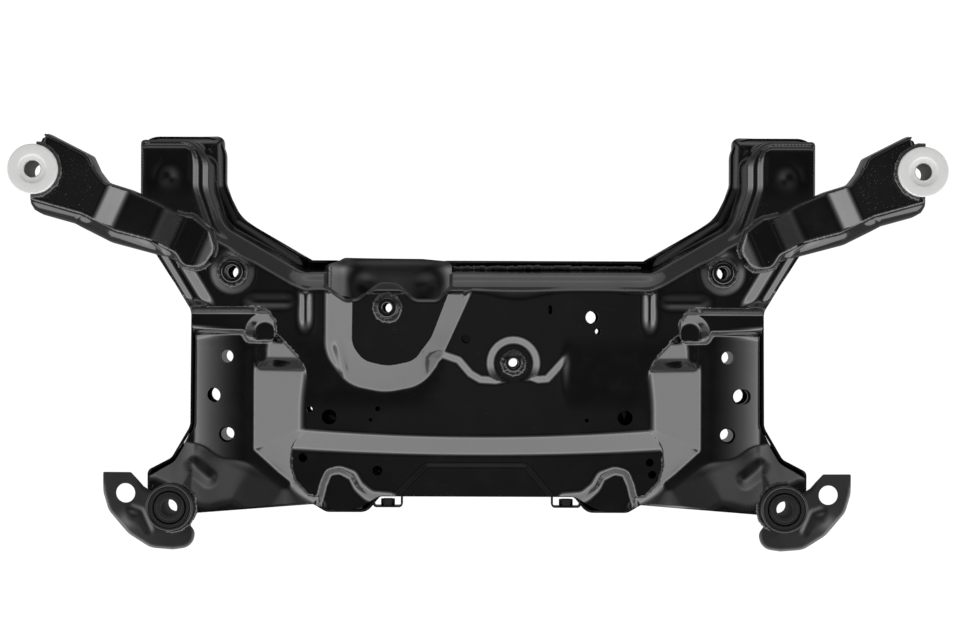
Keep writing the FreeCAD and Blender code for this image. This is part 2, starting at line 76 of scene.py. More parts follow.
def roundOutline(corners, arcStep=2.2, lineStep=3.4):
    count = len(corners)
    ends = []
    for i in range(count):
        here, back, ahead, half = cornerSides(corners, i)
        radius = corners[i][2]
        if radius < 0.1 or abs(half - math.pi / 2) < 0.01:
            ends.append([here])
            continue
        centre, start, _, sweep = cornerArc(here, back, ahead, half, radius)
        steps = max(2, int(round(abs(sweep) * radius / arcStep)))
        ends.append([centre + Vector(offset) for offset in arcOffsets(start, sweep, steps)])
    points = []
    for i in range(count):
        points += ends[i]
        start, stop = ends[i][-1], ends[(i + 1) % count][0]
        steps = int((stop - start).length / lineStep)
        points += [start.lerp(stop, k / steps) for k in range(1, steps)]
    return np.array([p[:] for p in points])


# Each edge moved inwards by its own distance; edge i starts at corner i
def insetCorners(corners, distances):
    count = len(corners)
    if not isinstance(distances, list):
        distances = [distances] * count
    lines = []
    for i in range(count):
        start, stop = Vector(corners[i][:2]), Vector(corners[(i + 1) % count][:2])
        along = (stop - start).normalized()
        lines.append((start + Vector((-along.y, along.x)) * distances[i], along))
    moved = []
    for i in range(count):
        (a, u), (b, v) = lines[i - 1], lines[i]
        turn = u.x * v.y - u.y * v.x
        reach = ((b - a).x * v.y - (b - a).y * v.x) / turn
        radius = corners[i][2] - min(distances[i - 1], distances[i]) * (1 if turn > 0 else -1)
        point = a + u * reach
        moved.append((point.x, point.y, max(radius, 0.6)))
    return moved


def flipCorners(corners):
    return [(-x, y, r) for x, y, r in reversed(corners)]


# The same number of points round each of several outlines with matching corners
def matchedOutlines(*cornerLists, arcStep=2.2, lineStep=3.4):
    steps, results = None, []
    for corners in cornerLists:
        count = len(corners)
        spans = [cornerArc(*cornerSides(corners, i), corners[i][2]) for i in range(count)]
        if steps is None:
            steps = []
            for i in range(count):
                centre, start, stop, sweep = spans[i]
                following = spans[(i + 1) % count]
                run = (following[0] + following[1] - centre - stop).length
                arcSteps = int(abs(sweep) * start.length / arcStep)
                steps.append((max(3, arcSteps), max(1, int(run / lineStep))))
        points = []
        for i in range(count):
            centre, start, stop, sweep = spans[i]
            arcSteps, lineSteps = steps[i]
            offsets = arcOffsets(start, sweep, arcSteps)
            points += [(centre.x + dx, centre.y + dy) for dx, dy in offsets]
            begin, end = centre + stop, spans[(i + 1) % count][0] + spans[(i + 1) % count][1]
            points += [tuple(begin.lerp(end, k / lineSteps)) for k in range(1, lineSteps)]
        results.append(np.array(points))
    return results


# Distance to a closed outline, negative inside
def signedDistance(x, y, outline):
    best = np.full(x.shape, 1e9)
    inside = np.zeros(x.shape, bool)
    following = np.roll(outline, -1, axis=0)
    for (ax, ay), (bx, by) in zip(outline, following):
        ex, ey = bx - ax, by - ay
        t = np.clip(((x - ax) * ex + (y - ay) * ey) / (ex * ex + ey * ey + 1e-12), 0, 1)
        best = np.minimum(best, (x - ax - t * ex) ** 2 + (y - ay - t * ey) ** 2)
        crosses = (ay > y) != (by > y)
        inside ^= crosses & (x < ax + (y - ay) * ex / (ey if abs(ey) > 1e-12 else 1e-12))
    return np.where(inside, -np.sqrt(best), np.sqrt(best))


def toCorners(x, y, corners):
    return signedDistance(x, y, roundOutline(corners))


# Blends between surfaces
def softMin(a, b, blend):
    h = np.maximum(blend - np.abs(a - b), 0) / blend
    return np.minimum(a, b) - h * h * blend / 4


def softMax(a, b, blend):
    return -softMin(-a, -b, blend)


# 0 up to t = 0 and then t itself, with a rounded bend
def knee(t, soft):
    return np.where(np.abs(t) < soft, (t + soft) ** 2 / (4 * soft), np.maximum(t, 0))


# 0 before d = 0, 1 after d = run, straight between, rounded at both ends
def ramp(d, run, soft):
    return (knee(d, soft) - knee(d - run, soft)) / run


# 0 on the outline low, 1 on the outline high that lies outside it
def between(x, y, low, high):
    a = np.maximum(signedDistance(x, y, low), 0)
    b = np.maximum(-signedDistance(x, y, high), 0)
    return a / (a + b + 1e-9)


# Right half of the box: x, y, radius, then each edge's inset at the plate and at the shoulder
# and its flare at the wall's foot
heights = {"plate": 105, "rearDrop": 5, "frontDrop": 7, "shelfDrop": 14, "shoulder": 83,
           "shoulderRise": 5, "wallFoot": 45, "dome": 123}
halfOutline = [
    (104, -165, 16, 3, 1, -1.5), (124, -178, 14, 3, 1, -1.5), (143, -184, 22, 3, 1, -1.5),
    (164, -179, 18, 3, 1, -1.5), (180, -173, 14, 3, 1, -1.5), (303, -182.5, 1, 1.5, 1, -1.5),
    (326.5, -176, 1, 1.5, 1, -1.5), (351, -158, 1, 1.5, 1, -1.5), (351, -143, 4, 1.5, 1, 1),
    (326, -129, 14, 2, 1, 1), (307, -92, 22, 2, 1, 1), (306.3, 34, 20, 3, 1, 1),
    (360.5, 118, 20, 4, 1, 1), (360.5, 216, 5, 10, 1, 0.3), (292, 216, 8, 19, 10.5, 1),
    (276, 196, 14, 28, 12, 1), (276, 165, 20, 27, 12, 2), (263, 128, 18, 26, 11, 4),
    (180, 80, 26, 25, 7, 4)]
insetColumns = {"plate": 3, "shoulder": 4, "foot": 5}
# Radii of the legs' inner corners at the shoulder and foot, then at the plate
legCorners = {14: (24, 11), 15: (24, 11), 16: (30, 30), 17: (30, 30)}


def boxCorners(level, sign=1):
    column = insetColumns[level]
    right = [row[:3] for row in halfOutline]
    moves = [sign * row[column] for row in halfOutline]
    corners = insetCorners(right + flipCorners(right), moves + moves[-2::-1] + [moves[0]])
    for row, radii in legCorners.items():
        radius = radii[1] if level == "plate" else radii[0]
        for i in (row, 2 * len(halfOutline) - 1 - row):
            corners[i] = (*corners[i][:2], radius)
    return corners


crown = roundOutline(boxCorners("plate"))
shoulderOutline = roundOutline(boxCorners("shoulder"))
valleyFloor = [(430, 60, 1), (241, 60, 1), (241, -116.6, 0.6), (214, -141, 8), (199, -153, 4),
               (206, -159, 4), (246, -129, 38), (278, -124.5, 30), (297, -111, 38), (312, -109, 8),
               (334, -99, 28), (430, -99, 1)]
recess = [(88, -162, 4), (112, -160, 10), (123, -151, 8), (130, -139, 8), (147, -133, 14),
          (161, -137, 8), (167, -151, 12), (172, -172, 6), (172, -235, 1), (88, -235, 1)]
seatWall = [(-90, 400), (-90, -45), (179, -45), (183, -29), (193.5, -15), (206, -3), (218, 6),
            (218, 22), (226, 34), (245, 38), (262, 45), (262, 400)]
rearWall = [(178, -88), (182, -93), (192, -101), (198, -113), (200, -131), (195, -149),
            (180, -165), (100, -165), (100, -88)]
rearPad = [(-98, -175, 2), (88, -175, 2), (52, -131, 6), (-54, -131, 6)]
domeFoot = [(9, 84, 4), (-163, 84, 4), (-163, -12, 40), (-138, -46, 40), (-98, -54, 60),
            (-58, -46, 40), (-38, -18, 16)]
domeTop = [(-20, 80, 4), (-131, 80, 4), (-132, -2, 24), (-120, -19, 22), (-94, -25, 40),
           (-66, -19, 22), (-48, 6, 22)]
stepLine = [(-40, -16), (-22, -22), (-10, -36), (2, -43), (20, -44), (38, -40), (56, -40),
            (64, -43), (76, -42), (95, -21), (112, -14)]


# Depth of a soft groove along a straight line
def groove(x, y, start, end, reach, depth):
    ex, ey = end[0] - start[0], end[1] - start[1]
    t = np.clip(((x - start[0]) * ex + (y - start[1]) * ey) / (ex * ex + ey * ey), 0, 1)
    away = np.hypot(x - start[0] - t * ex, y - start[1] - t * ey)
    return depth * (1 - ramp(away - reach * 0.15, reach * 0.8, reach * 0.2))


# Side valley: crowned floor, sloped sides, two terraces in front, a dish and two steep walls
valley = {"height": 64, "crown": 10, "crownFrom": 248, "crownRun": 52, "tilt": 0.66,
          "outerTilt": 0.45, "rearEase": 0.24, "seatX": 234, "seatY": 14, "seatRadius": 20,
          "dishX": 228, "dishY": 10, "terrace": 13, "front": 44, "steepTilt": 8}


def valleyHeight(side, y):
    bulge = np.clip((side - valley["crownFrom"]) / valley["crownRun"], 0, 1.12) ** 2
    floor = valley["height"] - valley["crown"] * bulge * (1 - ramp(y - 4, 12, 3))
    away = toCorners(side, y, valleyFloor)
    steeper = 1 + valley["outerTilt"] * ramp(side - 290, 30, 10)
    walls = valley["tilt"] * steeper * knee(away, 1.2)
    rear = ramp(-93 - 0.42 * (334 - side) - y, 10, 3)
    walls = walls * (1 - valley["rearEase"] * rear)
    inner = 1 - ramp(side - 243, 6, 2)
    walls = walls - 10 * ramp(y + 30, 12, 3) * ramp(away - 1, 8, 2) * inner
    walls = walls * (1 - inner * ramp(y + 1, 7, 2))
    reach = np.hypot(side - valley["seatX"], y - valley["seatY"])
    nose = softMax(y - 8, softMin(valley["seatRadius"] - reach, y + 1, 2), 3)
    terrace = valley["terrace"] * ramp(nose, 4, 1.2)
    terrace = terrace + valley["front"] * ramp(y - 32, 8, 2.5)
    dish = np.hypot(side - valley["dishX"], y - valley["dishY"])
    nearFront = ramp(y + 2, 8, 2)
    bowl = 5 * ramp(y + 8, 10, 3) + 0.8 * nearFront * knee(dish - 11, 2)
    bowl = bowl + 3 * nearFront * knee(dish - 21, 1.5)
    pocket = floor + softMax(walls, softMin(terrace, bowl, 2), 2)
    for outline in (seatWall, rearWall):
        inside = -signedDistance(side, y, np.array(outline, float))
        pocket = pocket + valley["steepTilt"] * knee(inside - 0.4, 0.6)
    return pocket


def shoulderHeight(x, y):
    side = np.abs(x)
    front = ramp(y - 55, 15, 4)
    rise = heights["shoulderRise"] * front
    return heights["shoulder"] + rise + rise * (1 - ramp(side - 185, 20, 5))


# The plate with its S-shaped step, the sloped strip behind it and the rear shelf
def plateHeight(x, y):
    side = np.abs(x)
    lower = [(-420, -16)] + stepLine + [(420, -14), (420, -260), (-420, -260)]
    stepDistance = signedDistance(x, y, np.array(lower[::-1], float))
    dish = np.hypot(x - bosses["centreX"], y - bosses["centreY"]) - 20.5
    crisp = ramp(np.minimum(stepDistance, dish), 8, 1.6)
    broad = ramp(y + 62, 60, 14)
    nearCentre = ramp(x + 62, 26, 8) * (1 - ramp(x - 90, 8, 3))
    lowered = 1 - (crisp * nearCentre + broad * (1 - nearCentre))
    plate = heights["plate"] - heights["rearDrop"] * lowered
    plate = plate - heights["frontDrop"] * ramp(y - 100, 62, 12)
    start = -100.5 + 7.5 * np.minimum(side / 182, 1.2) ** 2
    end = -119.8 + 5 * np.minimum(side / 190, 1.2) ** 2
    return plate - heights["shelfDrop"] * ramp((start - y) / (start - end), 1, 0.1)


# Stepped flank between each leg and the valley, where the arm's root sits
def flankDrop(side, y):
    inward = (306.3 - side) * 0.854 + (y - 34) * 0.52
    weight = ramp(y - 36, 9, 3) * (1 - ramp(y - 104, 16, 5)) * ramp(side - 225, 12, 4)
    steps = 8 * (1 - ramp(inward - 16, 11, 2.5)) + 4 * (1 - ramp(inward - 4, 5, 1.5))
    return weight * steps


# Slope over the outer edge, from plate to shoulder: two steps on the legs, bowed beside the mouth
def outerSlope(x, y):
    side = np.abs(x)
    edge = between(x, y, crown, shoulderOutline)
    bow = 3.6 * np.exp(-((x - 42) / 34) ** 2) + 1.5 * np.exp(-((x - 170) / 20) ** 2)
    top, shoulder = plateHeight(x, y) + 1.5, shoulderHeight(x, y)
    onLeg = ramp(side - 262, 12, 3) * ramp(y - 100, 20, 5)
    twice = 0.6 * ramp(edge, 0.4, 0.06) + 0.4 * ramp(edge - 0.68, 0.32, 0.05)
    rolled = top - (top - shoulder) * (edge + (twice - edge) * onLeg)
    outer = np.where(y > 30, rolled - bow, rolled) + 30 * ramp(-140 - y, 12, 3)
    inside = np.maximum(-signedDistance(x, y, crown), 0)
    bowed = ramp(x + 18, 6, 2) * (1 - ramp(x - 150, 20, 5)) * (y > 0)
    return outer + np.where(bowed > 0.5, 0.4 * inside, 60 * np.maximum(inside - 3, 0))


# Height of the upper pressing's skin over the plan
def topHeight(x, y):
    side = np.abs(x)
    skin = plateHeight(x, y)
    # soft ridges beside the valley's front corner
    skin += (4.2 * np.exp(-((side - 182) / 5) ** 2) * ramp(y - 10, 14, 5)
             * (1 - ramp(y - 50, 14, 5)))
    skin += (2.4 * np.exp(-((y - 43) / 6) ** 2) * ramp(side - 190, 12, 4)
             * (1 - ramp(side - 236, 12, 4)))
    # restrictor dome with a dent at each rear corner
    share = 1 - between(x, y, roundOutline(domeTop), roundOutline(domeFoot))
    dome = skin - 1 + (heights["dome"] - skin + 1) * share
    dome -= (groove(x, y, (-147, -5), (-141, -30), 7, 1.5)
             + groove(x, y, (-56, -10), (-42, -20), 5, 0.8))
    inDome = toCorners(x, y, domeFoot) < 0
    skin = np.where(inDome, softMax(skin, dome, 1.5), skin)
    # raised seats of the rack bosses
    seat = np.hypot(side - bosses["rackX"], y - bosses["rackY"])
    skin += 3.5 * (1 - ramp(seat - 15, 9, 2))
    skin -= flankDrop(side, y) * ramp(seat - 14, 9, 3)
    # raised edge that runs from each leg towards the rack boss
    skin -= groove(side, y, (288, 141), (266, 108), 3.5, -1.8)
    # side valleys
    skin = softMin(skin, valleyHeight(side, y), 3)
    skin -= groove(side, y, (306, -133), (288, -147), 10, 2.4)
    # bell-shaped recesses in the shelf's rear edge, wide slopes towards the middle, narrow outside
    inside = -toCorners(side, y, recess)
    width = 6 + 5 * (1 - ramp(side - 124, 30, 8))
    skin = skin - 10 * ramp(inside, width, 0.28 * width) * (y < -100)
    # raised pad in the middle of the shelf
    skin += 1.8 * (1 - ramp(toCorners(x, y, rearPad) + 2.5, 5, 1.2))
    # dimples on the legs
    skin -= 2.6 * np.exp(-(np.hypot(side - 330, y - 176) / 9) ** 2)
    skin = softMin(skin, outerSlope(x, y), 2.5)
    # rolled lip round the mouth
    lip = np.maximum(signedDistance(x, y, mouthOutline), 0)
    return skin - 3 * np.clip(1 - lip / 4.5, 0, 1) ** 2


# Mesh helpers
def addObject(name, data):
    piece = bpy.data.objects.new(name, data)
    bpy.context.scene.collection.objects.link(piece)
    return piece


def meshObject(name, vertices, faces, edges=()):
    mesh = bpy.data.meshes.new(name)
    mesh.from_pydata([(x * mm, y * mm, z * mm) for x, y, z in vertices], edges, faces)
    mesh.validate()
    return addObject(name, mesh)


def makeActive(piece):
    bpy.ops.object.select_all(action="DESELECT")
    piece.select_set(True)
    bpy.context.view_layer.objects.active = piece


def fixNormals(piece):
    makeActive(piece)
    bpy.ops.object.mode_set(mode="EDIT")
    bpy.ops.mesh.select_all(action="SELECT")
    bpy.ops.mesh.remove_doubles(threshold=0.00002)
    bpy.ops.mesh.normals_make_consistent(inside=False)
    bpy.ops.object.mode_set(mode="OBJECT")


# Smooth shading, material and body for a finished piece, with the imported pieces it replaces
# hidden
def finishPiece(piece, material, replaced=(), smoothAngle=50):
    makeActive(piece)
    bpy.ops.object.shade_smooth_by_angle(angle=math.radians(smoothAngle))
    piece.data.materials.clear()
    piece.data.materials.append(material)
    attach(piece, "root")
    if replaced:
        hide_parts(*replaced)


# A sheet over a plan: staggered points inside the boundary with their height from a function,
# then skirt rows below the boundary. Holes get a wall of the sheet's thickness, cuts are
# outlines that may cross the boundary, and rows are extra points along the plan's features
def pressedSheet(name, boundary, height, skirt, holes, cuts=(), rows=(), fineBoxes=(), grid=None):
    grid = grid or sheet["grid"]
    openings = list(holes) + list(cuts)
    loops = [boundary] + openings
    low, high = boundary.min(0), boundary.max(0)
    batches = list(rows)
    for spacing, box in [(grid, None)] + [(sheet["fineGrid"], box) for box in fineBoxes]:
        x0, y0, x1, y1 = box or (low[0], low[1], high[0], high[1])
        lines = np.arange(y0, y1, spacing * 0.866)
        gx, gy = np.meshgrid(np.arange(x0, x1, spacing), lines)
        gx = gx + (np.arange(len(lines)) % 2)[:, None] * spacing / 2
        gx, gy = gx.ravel(), gy.ravel()
        keep = np.ones(gx.shape, bool)
        if box is None:
            for bx0, by0, bx1, by1 in fineBoxes:
                keep &= ~((gx > bx0 - 1) & (gx < bx1 + 1) & (gy > by0 - 1) & (gy < by1 + 1))
        batches.append(np.stack([gx[keep], gy[keep]], 1))
    points, edges, start = [], [], 0
    for loop in loops:
        points += [tuple(p) for p in loop]
        edges += [(start + i, start + (i + 1) % len(loop)) for i in range(len(loop))]
        start += len(loop)
    for batch in batches:
        keep = signedDistance(batch[:, 0], batch[:, 1], boundary) < -0.5
        for hole in openings:
            keep &= signedDistance(batch[:, 0], batch[:, 1], hole) > 0.6
        points += [tuple(p) for p in batch[keep]]
    flat, _, faces, origin, _, _ = delaunay_2d_cdt([Vector(p) for p in points], edges, [], 0, 1e-4)
    xy = np.array([p[:] for p in flat])
    z = height(xy[:, 0], xy[:, 1])
    tri = np.array(faces)
    centre = xy[tri].mean(1)
    keep = signedDistance(centre[:, 0], centre[:, 1], boundary) < 0
    for hole in openings:
        keep &= signedDistance(centre[:, 0], centre[:, 1], hole) > 0
    vertices = [(a, b, c) for (a, b), c in zip(xy, z)]
    faces = [tuple(face) for face in tri[keep]]
    place = {source: i for i, sources in enumerate(origin) for source in sources}
    inCut = np.zeros(len(boundary), bool)
    for outline in cuts:
        inCut |= signedDistance(boundary[:, 0], boundary[:, 1], outline) < 0
    count = len(boundary)
    previous = [place[i] for i in range(count)]
    for row in skirt:
        current = list(range(len(vertices), len(vertices) + count))
        vertices += [tuple(p) for p in row]
        faces += [(previous[i], current[i], current[(i + 1) % count], previous[(i + 1) % count])
                  for i in range(count) if not (inCut[i] or inCut[(i + 1) % count])]
        previous = current
    start = len(boundary)
    for loop in openings:
        inside = signedDistance(loop[:, 0], loop[:, 1], boundary) < 0
        top = [place[start + i] for i in range(len(loop))]
        below = list(range(len(vertices), len(vertices) + len(loop)))
        vertices += [(*vertices[i][:2], vertices[i][2] - sheet["thickness"]) for i in top]
        for i in range(len(loop)):
            j = (i + 1) % len(loop)
            if inside[i] and inside[j] and top[i] != top[j]:
                faces.append((top[i], below[i], below[j], top[j]))
        start += len(loop)
    piece = meshObject(name, vertices, faces)
    fixNormals(piece)
    return piece


def circle(x, y, radius, count=28):
    return np.array([(x + radius * math.cos(a), y + radius * math.sin(a))
                     for a in np.linspace(0, 2 * math.pi, count, endpoint=False)])


# Shader groups and materials
def newGroup(name, inputs, outputs):
    group = bpy.data.node_groups.new(name, "ShaderNodeTree")
    for label, value in inputs:
        socket = group.interface.new_socket(label, in_out="INPUT", socket_type="NodeSocketFloat")
        socket.default_value = value
    for label, kind in outputs:
        group.interface.new_socket(label, in_out="OUTPUT", socket_type=kind)
    return group


def addNode(tree, kind, values=None, **settings):
    node = tree.nodes.new("ShaderNode" + kind)
    for name, value in settings.items():
        setattr(node, name, value)
    for socket, value in (values or {}).items():
        node.inputs[socket].default_value = value
    return node


# Each link is a node and its output, then a node and its input
def connect(tree, *links):
    for source, output, target, entry in links:
        tree.links.new(source.outputs[output], target.inputs[entry])


# Orange peel, settled dust and fine rubs of a dipped paint
def paintGrain():
    tree = newGroup("paintGrain", [("Dust", 0.5), ("Peel", 0.2)],
                    [("Dust mask", "NodeSocketFloat"), ("Haze", "NodeSocketFloat"),
                     ("Normal", "NodeSocketVector")])
    entry, leave = tree.nodes.new("NodeGroupInput"), tree.nodes.new("NodeGroupOutput")
    place = addNode(tree, "TexCoord")
    peel = addNode(tree, "TexNoise", {"Scale": 420, "Detail": 2})
    waves = addNode(tree, "TexNoise", {"Scale": 38, "Detail": 3})
    specks = addNode(tree, "TexVoronoi", {"Scale": 230, "Randomness": 1})
    sparse = addNode(tree, "TexNoise", {"Scale": 60})
    cut = addNode(tree, "MapRange", {"From Min": 0.085, "From Max": 0.055})
    thin = addNode(tree, "MapRange", {"From Min": 0.56, "From Max": 0.68})
    both = addNode(tree, "Math", operation="MULTIPLY")
    amount = addNode(tree, "Math", operation="MULTIPLY")
    haze = addNode(tree, "MapRange", {"From Min": 0.35, "From Max": 0.75})
    mix = addNode(tree, "Math", {1: 0.35}, operation="MULTIPLY_ADD")
    bump = addNode(tree, "Bump", {"Distance": 0.0004})
    for texture in (peel, waves, specks, sparse):
        connect(tree, (place, "Object", texture, "Vector"))
    connect(tree, (specks, "Distance", cut, "Value"), (sparse, "Fac", thin, "Value"),
            (cut, "Result", both, 0), (thin, "Result", both, 1), (both, 0, amount, 0),
            (entry, "Dust", amount, 1), (amount, 0, leave, "Dust mask"),
            (waves, "Fac", haze, "Value"), (haze, "Result", leave, "Haze"), (peel, "Fac", mix, 0),
            (waves, "Fac", mix, 2), (mix, 0, bump, "Height"), (entry, "Peel", bump, "Strength"),
            (bump, "Normal", leave, "Normal"))
    return tree


grainGroup = paintGrain()


def shaded(name, colour, rough, metallic=0.0):
    material = bpy.data.materials.new(name)
    material.use_nodes = True
    shader = material.node_tree.nodes["Principled BSDF"]
    shader.inputs["Base Color"].default_value = (*colour, 1)
    shader.inputs["Roughness"].default_value = rough
    shader.inputs["Metallic"].default_value = metallic
    return material, shader


paint = {"colour": (0.003, 0.003, 0.0032), "dust": (0.22, 0.21, 0.2), "haze": 0.14}


def blackPaint(name, rough, coatRough, dust, peel):
    material, shader = shaded(name, paint["colour"], rough)
    tree = material.node_tree
    coat = {"IOR": 1.55, "Coat Weight": 1, "Coat Roughness": coatRough, "Coat IOR": 1.8}
    for socket, value in coat.items():
        shader.inputs[socket].default_value = value
    grain = addNode(tree, "Group", {"Dust": dust, "Peel": peel}, node_tree=grainGroup)
    tint = addNode(tree, "Mix", {"A": (*paint["colour"], 1), "B": (*paint["dust"], 1)},
                   data_type="RGBA")
    spread = addNode(tree, "MapRange", {"To Min": rough, "To Max": rough + paint["haze"]})
    connect(tree, (grain, "Dust mask", tint, "Factor"), (tint, "Result", shader, "Base Color"),
            (grain, "Haze", spread, "Value"), (spread, "Result", shader, "Roughness"),
            (grain, "Normal", shader, "Normal"))
    return material


glossPaint = blackPaint("glossPaint", 0.16, 0.06, 0.5, 0.10)
weldPaint = blackPaint("weldPaint", 0.5, 0.34, 0.8, 0.9)
satinPaint = blackPaint("satinPaint", 0.42, 0.3, 0.9, 0.25)


# A surface with fine grain in its colour, roughness and height
def plainMaterial(name, colour, rough, metallic, noiseScale, bumpStrength, spread=0.25):
    material, shader = shaded(name, colour, rough, metallic)
    tree = material.node_tree
    place = addNode(tree, "TexCoord")
    noise = addNode(tree, "TexNoise", {"Scale": noiseScale, "Detail": 5})
    dark = (*[c * (1 - spread) for c in colour], 1)
    light = (*[min(1, c * (1 + spread)) for c in colour], 1)
    tint = addNode(tree, "Mix", {"A": dark, "B": light}, data_type="RGBA")
    limits = addNode(tree, "MapRange", {"To Min": rough * 0.8, "To Max": min(1, rough * 1.25)})
    bump = addNode(tree, "Bump", {"Distance": 0.0003, "Strength": bumpStrength})
    connect(tree, (place, "Object", noise, "Vector"), (noise, "Fac", tint, "Factor"),
            (tint, "Result", shader, "Base Color"), (noise, "Fac", limits, "Value"),
            (limits, "Result", shader, "Roughness"), (noise, "Fac", bump, "Height"),
            (bump, "Normal", shader, "Normal"))
    return material


nylon = plainMaterial("whiteNylon", (0.97, 0.97, 0.96), 0.5, 0, 300, 0.3, 0.03)
bareSteel = plainMaterial("bareSteel", (0.42, 0.42, 0.42), 0.38, 1, 900, 0.3)
darkSteel = plainMaterial("darkSteel", (0.05, 0.05, 0.052), 0.4, 0.6, 700, 0.3)
rubber = plainMaterial("rubber", (0.012, 0.012, 0.012), 0.75, 0, 800, 0.7)
print("materials ready")


# Upper pressing
mouth = {"left": -160, "right": -30, "low": 46, "top": 130}
plateHoles = [(-157, -79.4, 8), (157, -79.4, 8), (-12.2, 3.9, 4.8), (-105.7, -70.5, 2.6),
              (-113.1, -82.2, 1.8), (116.3, -82.2, 2.1), (-185.9, -123.4, 4.8),
              (-106.3, -137.3, 5.3), (184.3, -127.7, 4.3), (187, -140.5, 4.3), (121.4, 27.2, 6.9),
              (127.7, 12.3, 3.2), (-177.9, -71.6, 3.2), (-285, -58, 8),
              (bosses["restrictorX"], bosses["restrictorY"], bosses["bore"]),
              (bosses["centreX"], bosses["centreY"], bosses["bore"])]
valleySlot = [(274.5, -66, 7.5), (295.5, -66, 7.5), (295.5, -50, 7.5), (274.5, -50, 7.5)]
plateSlot = [(74.8, 30.4, 2), (79, 30.4, 2), (79, 39.8, 2), (74.8, 39.8, 2)]
fineBoxes = [(-170, -58, 20, 74), (20.5, -62, 112, 14), (-304, -36, -178, 44), (178, -36, 304, 44)]


def circleHole(x, y, radius):
    return circle(x, y, radius, 40)


def mouthCorners():
    left, right, low, top = mouth["left"], mouth["right"], mouth["low"], mouth["top"]
    return [(left, top, 0), (left, low + 14, 3), (left + 22, low - 1, 12), (left + 34, low + 1, 12),
            (left + 56, low + 18, 14), (left + 75, low + 17, 14), (left + 94, low, 14),
            (right - 12, low, 10), (right, low + 14, 3), (right, top, 0)]


mouthOutline = roundOutline(mouthCorners(), 2, 3)


# Points along the edges of the drawn features, so that the mesh bends where the sheet does
def featureRows(shoulder, crownRow):
    rows = [shoulder + (crownRow - shoulder) * t for t in (0.2, 0.45, 0.7, 0.9, 1.05, 1.25)]
    for corners in (domeFoot, domeTop):
        rows += [roundOutline(insetCorners(corners, shift), 1.6, 1.6) for shift in (-1, 0.01, 1)]
    rows += [circle(bosses["centreX"], bosses["centreY"], r, 110) for r in (20, 21.5, 28, 29.5)]
    for flip in (-1, 1):
        for shift in (-1, 0.01, 1):
            edge = roundOutline(insetCorners(valleyFloor, shift), 1.8, 1.8)
            rows.append(edge[np.abs(edge[:, 0]) < 400] * (flip, 1))
        for line in (8, 10, 12, 32.5, 34.5, 37, 39):
            span = np.arange(236, 306, 1.4)
            rows.append(np.column_stack([flip * span, 0 * span + line]))
        rows += [circle(flip * valley["dishX"], valley["dishY"], r, 50) for r in (10, 12, 20, 22)]
        for outline in (seatWall, rearWall[::-1]):
            for shift in (-0.9, 0.2, 1.2, 2.6, 4.2):
                edge = roundOutline(insetCorners([(x, y, 1) for x, y in outline], shift), 1.6, 1.6)
                rows.append(edge[(edge[:, 0] > 165) & (edge[:, 1] < 44)] * (flip, 1))
        for shift in (0.01, 1.5, 3.5, 6, 9):
            edge = roundOutline(insetCorners(recess[::-1], shift), 1.6, 1.6)
            rows.append(edge[edge[:, 1] > -185] * (flip, 1))
    return rows


def upperPressing():
    shoulder, foot, crownRow = matchedOutlines(boxCorners("shoulder"), boxCorners("foot", -1),
                                               boxCorners("plate"))
    top = topHeight(shoulder[:, 0], shoulder[:, 1])
    skirt = []
    for share, drop in ((0.03, 0.01), (0.08, 0.05), (0.2, 0.2), (0.6, 0.8), (1, 1)):
        xy = shoulder + (foot - shoulder) * share
        skirt.append(np.column_stack([xy, top + (heights["wallFoot"] - top) * drop]))
    holes = [circle(x, y, r) for x, y, r in plateHoles]
    for side in (-1, 1):
        holes.append(circle(side * bosses["rackX"], bosses["rackY"], bosses["rackBore"]))
        holes += [circle(side * 270, y, r) for y, r in ((-16, 7), (-100, 8.5))]
    holes += [roundOutline(valleySlot, 1.5), roundOutline(plateSlot, 1)]
    cuts = [mouthOutline]
    cuts += [circleHole(side * rearMount["x"], rearMount["y"], rearMount["tubeRadius"] + 0.2)
             for side in (-1, 1)]
    piece = pressedSheet("upperPressing", shoulder, topHeight, skirt, holes, cuts,
                         featureRows(shoulder, crownRow), fineBoxes)
    finishPiece(piece, glossPaint, ["upper_shell"])
    print("upper pressing:", len(piece.data.polygons), "faces")


# A sheet with no holes and a short edge below its whole outline
def openSheet(name, outline, height, edgeStep, grid):
    edge = height(outline[:, 0], outline[:, 1])
    skirt = [np.column_stack([outline, edge - edgeStep * k]) for k in (1, 2)]
    return pressedSheet(name, outline, height, skirt, [], grid=grid)


# The trough and the lower lip seen through the mouth
def mouthTrough():
    outline = roundOutline([(-28, 44, 3), (-28, 84, 6), (-34, 87.5, 6), (-60, 90, 40),
                            (-144, 90.8, 6), (-150, 87, 5), (-164, 82, 5), (-164, 44, 3)], 2, 3)

    def troughHeight(x, y):
        bowl = np.where(x < -92, 17, 12) * np.minimum(np.abs(x + 92) / 62, 1.1) ** 3
        bowl += 2.4 * np.exp(-((x + 122) / 11) ** 2 - ((y - 64) / 10) ** 2)
        bowl += 2.6 * np.exp(-((x + 55) / 13) ** 2 - ((y - 62) / 12) ** 2)
        rear = (7 + 6 * np.exp(-((x + 92) / 30) ** 2)) * (1 - ramp(y - 42, 38, 10))
        return 49 + rear + bowl - 3 * ramp(y - 82, 9, 3)
    piece = openSheet("mouthTrough", outline, troughHeight, 1.2, 2.0)
    finishPiece(piece, glossPaint)


# Flange of the lower pressing that shows round the inner side of a leg
legEdge = [(350, 220.2), (274, 221.6), (272.6, 168), (256, 134.3), (189.8, 90.2)]


